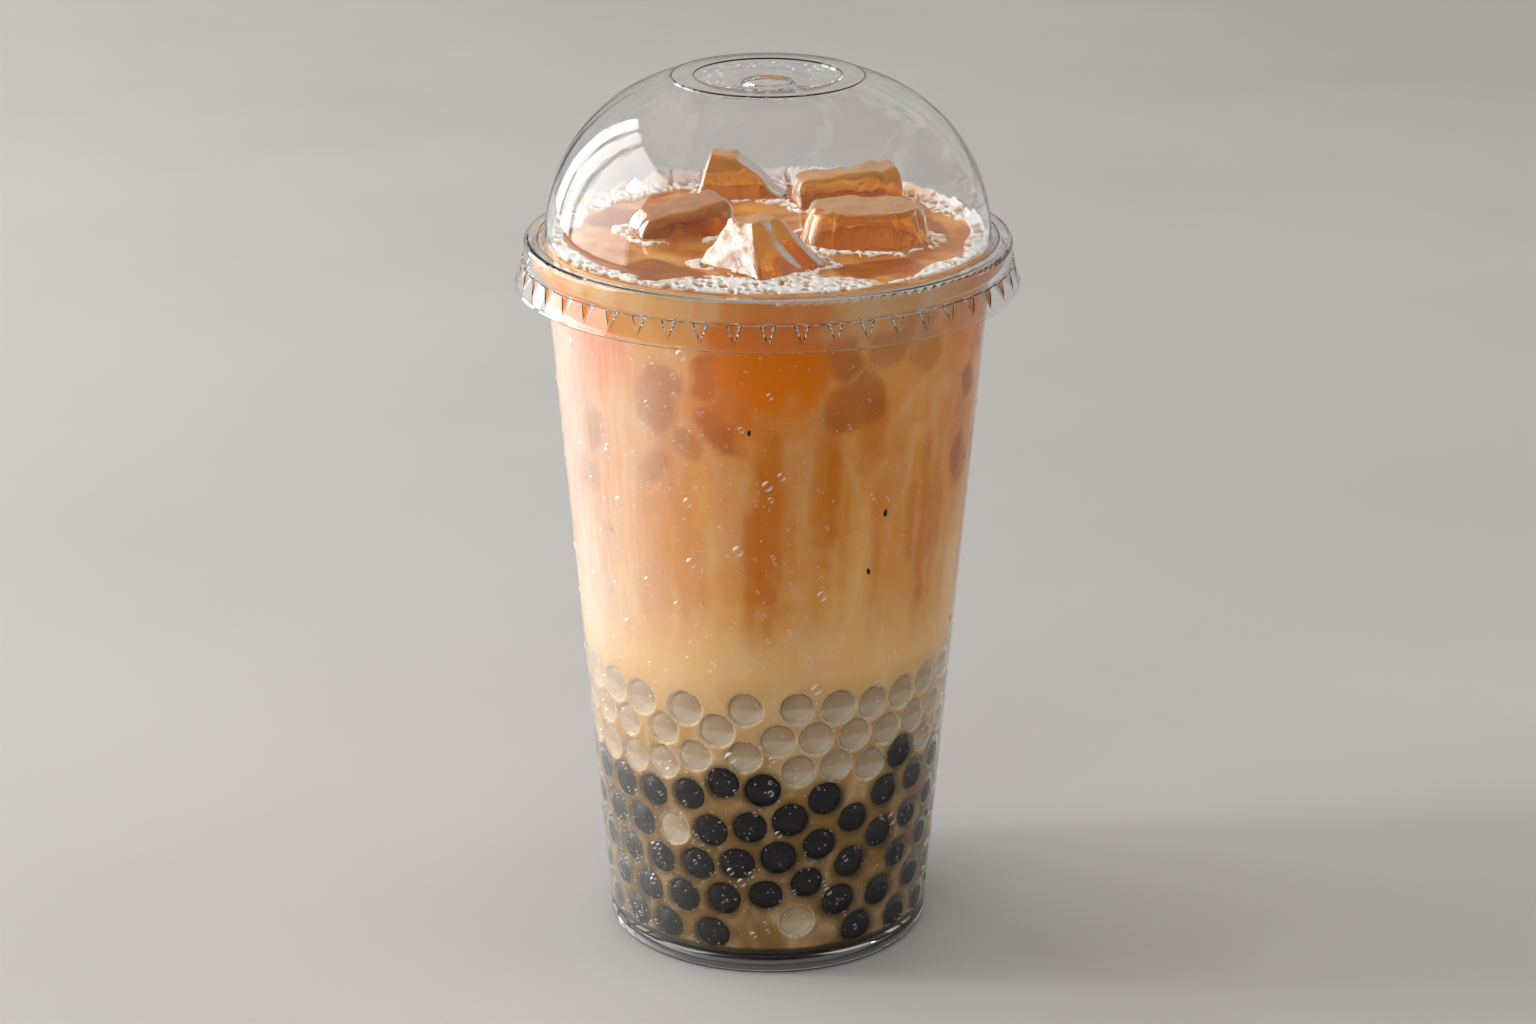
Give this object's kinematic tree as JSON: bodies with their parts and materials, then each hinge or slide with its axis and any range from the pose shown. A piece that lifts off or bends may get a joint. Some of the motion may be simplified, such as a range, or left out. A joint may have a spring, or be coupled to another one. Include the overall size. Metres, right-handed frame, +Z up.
{
  "type": "bubble tea in a lidded cup",
  "caption": "Clear cup with a domed lid and straw hole, filled with milk tea over clear and black tapioca pearls, with ice blocks and foam at the surface",
  "frame": {"origin": "centre of the foot ring, on the surface that the cup stands on", "axes": "+Z up the cup's axis, -Y towards the side that is seen from the front"},
  "size_m": [0.1044, 0.1044, 0.1857],
  "materials": {
    "clear_cup": "clear thermoformed PET, glossy",
    "clear_lid": "clear thermoformed PET, glossy",
    "milk_tea": "opaque milky liquid, wet surface",
    "clear_pearls": "translucent jelly pearls in milk tea",
    "black_pearls": "glossy tapioca pearls in milk tea",
    "foam": "fine milk foam",
    "ice": "wet clear ice, tinted by the tea around it"
  },
  "bodies": {
    "root": {"cup": "clear_cup", "lid": "clear_lid", "milk_tea": "milk_tea", "clear_pearls": "clear_pearls", "black_pearls": "black_pearls", "foam": "foam", "ice_1": "ice", "ice_2": "ice", "ice_3": "ice", "ice_4": "ice", "ice_5": "ice"}
  },
  "joints": []
}
